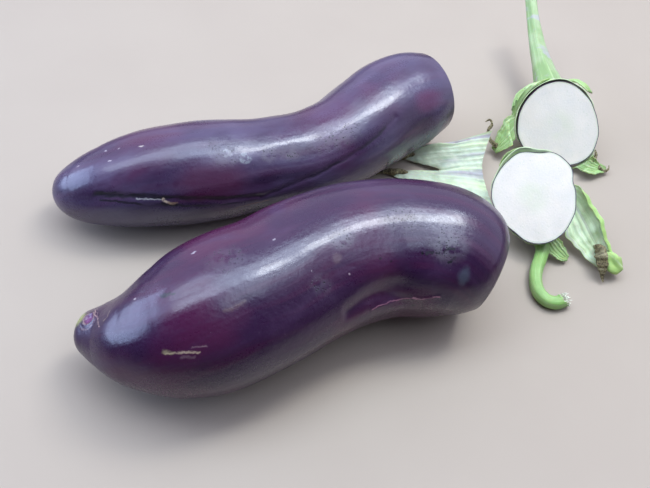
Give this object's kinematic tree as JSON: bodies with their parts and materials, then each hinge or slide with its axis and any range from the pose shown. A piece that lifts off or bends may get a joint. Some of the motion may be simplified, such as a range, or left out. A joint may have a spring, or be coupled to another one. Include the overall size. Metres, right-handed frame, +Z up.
{
  "type": "cut eggplants",
  "caption": "Long purple eggplants lying with their stem ends cut off, the cut tops with calyx and stem beside them, and a loose piece of calyx.",
  "frame": {"origin": "middle of the whole group's footprint, on the surface it lies on", "axes": "+Z up, +X from the blossom ends of the eggplants towards the cut tops, +Y from the front eggplant to the rear one"},
  "size_m": [0.2874, 0.2922, 0.0661],
  "materials": {
    "skin": "smooth waxy vegetable skin, glossy dark purple",
    "flesh": "moist, finely spongy cut flesh",
    "calyx": "matt green, ridged and felted",
    "sepal": "matt pale green leaf with purple veins and dry tips",
    "stem": "satin green stalk with fine ribs"
  },
  "bodies": {
    "root": {"front_eggplant": "skin", "rear_eggplant": "skin", "front_top_flesh": "flesh", "front_top_calyx": "calyx", "front_top_stem": "stem", "front_top_sepal_long": "sepal", "front_top_sepal_low": "sepal", "front_top_sepal_back": "sepal", "rear_top_flesh": "flesh", "rear_top_calyx": "calyx", "rear_top_stem": "stem", "rear_top_sepal_left": "sepal", "rear_top_sepal_collar": "sepal", "rear_top_sepal_right": "sepal", "rear_top_sepal_top": "sepal", "loose_calyx_leaf": "sepal"}
  },
  "joints": []
}
